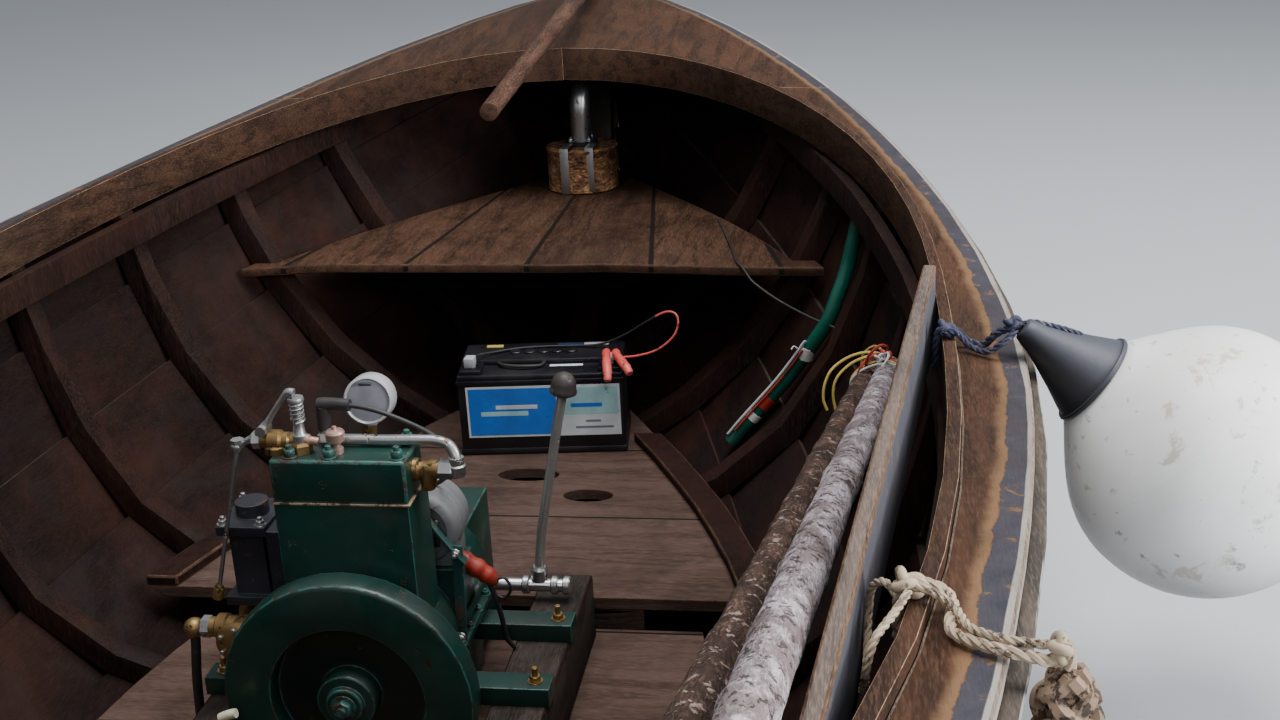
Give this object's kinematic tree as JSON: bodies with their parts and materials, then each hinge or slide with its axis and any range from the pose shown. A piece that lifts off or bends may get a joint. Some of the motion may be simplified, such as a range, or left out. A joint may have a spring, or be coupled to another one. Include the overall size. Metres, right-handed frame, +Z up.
{
  "type": "net fishing boat",
  "caption": "Small double-ended wooden motor boat for net fishing, decked at the edges, with an open inboard engine, tiller and outboard-hung rudder.",
  "frame": {"origin": "amidships on the centreline, at the waterline", "axes": "+X forward to the bow, +Y to port, +Z up"},
  "size_m": [5.3626, 2.227, 1.3555],
  "materials": {
    "old_wood": "weathered, oiled and worn",
    "deck_wood": "weathered paint over planks",
    "dark_wood": "tarred",
    "green_paint": "enamel",
    "dark_iron": "bare",
    "steel": "worn",
    "brass": "dull",
    "grey_paint": "satin",
    "black_plastic": "moulded",
    "rusty_steel": "rusted",
    "pole_brown": "bare, weathered",
    "pole_grey": "bare, silvered",
    "board": "painted one side, worn",
    "white_vinyl": "inflated vinyl, stained",
    "dark_vinyl": "vinyl",
    "navy_rope": "braided rope",
    "beige_rope": "three-strand rope",
    "green_hose": "ribbed hose",
    "cable": "insulated wire"
  },
  "bodies": {
    "root": {"keel": "old_wood", "stem": "old_wood", "sternpost": "old_wood", "lower_planking_port": "old_wood", "lower_planking_starboard": "old_wood", "upper_planking_port": "old_wood", "upper_planking_starboard": "old_wood", "frames_port": "old_wood", "frames_starboard": "old_wood", "floor_timbers": "old_wood", "aft_sole": "old_wood", "fore_sole": "old_wood", "sole_riser": "old_wood", "margin_batten_port": "old_wood", "margin_batten_starboard": "old_wood", "foredeck": "deck_wood", "aft_deck": "deck_wood", "side_deck_port": "deck_wood", "side_deck_starboard": "deck_wood", "coaming_port": "deck_wood", "coaming_starboard": "deck_wood", "stern_shelf": "deck_wood", "foredeck_beams": "old_wood", "aft_deck_beams": "old_wood", "rub_rail_port": "dark_wood", "rub_rail_starboard": "dark_wood", "engine_bearer_port": "dark_wood", "engine_bearer_starboard": "dark_wood", "engine_block": "green_paint", "cylinder_head": "green_paint", "gearbox": "green_paint", "exhaust_manifold": "dark_iron", "gudgeon_lower": "dark_iron", "gudgeon_upper": "dark_iron", "valve_gear": "steel", "cooling_pipe": "steel", "gear_lever": "steel", "silencer_riser": "steel", "water_pump": "brass", "stern_tube": "brass", "magneto": "grey_paint", "breather": "grey_paint", "battery": "black_plastic", "silencer": "rusty_steel", "pole_brown": "pole_brown", "pole_grey": "pole_grey", "plank_board": "board", "fender": "white_vinyl", "fender_cap": "dark_vinyl", "fender_rope": "navy_rope", "rope_fender": "beige_rope", "rope_fender_rope": "beige_rope", "green_hose": "green_hose", "battery_lead": "cable", "shelf_cable": "cable"},
    "flywheel": {"flywheel": "green_paint"},
    "propeller": {"propeller_shaft": "steel", "propeller": "brass"},
    "rudder": {"rudder": "old_wood", "tiller": "old_wood"}
  },
  "joints": [
    {"name": "rudder_swing", "type": "hinge", "parent": "root", "child": "rudder", "pos_m": [-2.46963, 0, 0], "axis": [-0.2133, 0, 0.977], "range_deg": [-35, 35]},
    {"name": "propeller_spin", "type": "hinge", "parent": "root", "child": "propeller", "pos_m": [-2.21, 0, -0.25466], "axis": [0.9981, 0, 0.0615], "continuous": true},
    {"name": "flywheel_spin", "type": "hinge", "parent": "root", "child": "flywheel", "pos_m": [-0.12, 0, 0.012], "axis": [1, 0, 0], "continuous": true}
  ]
}
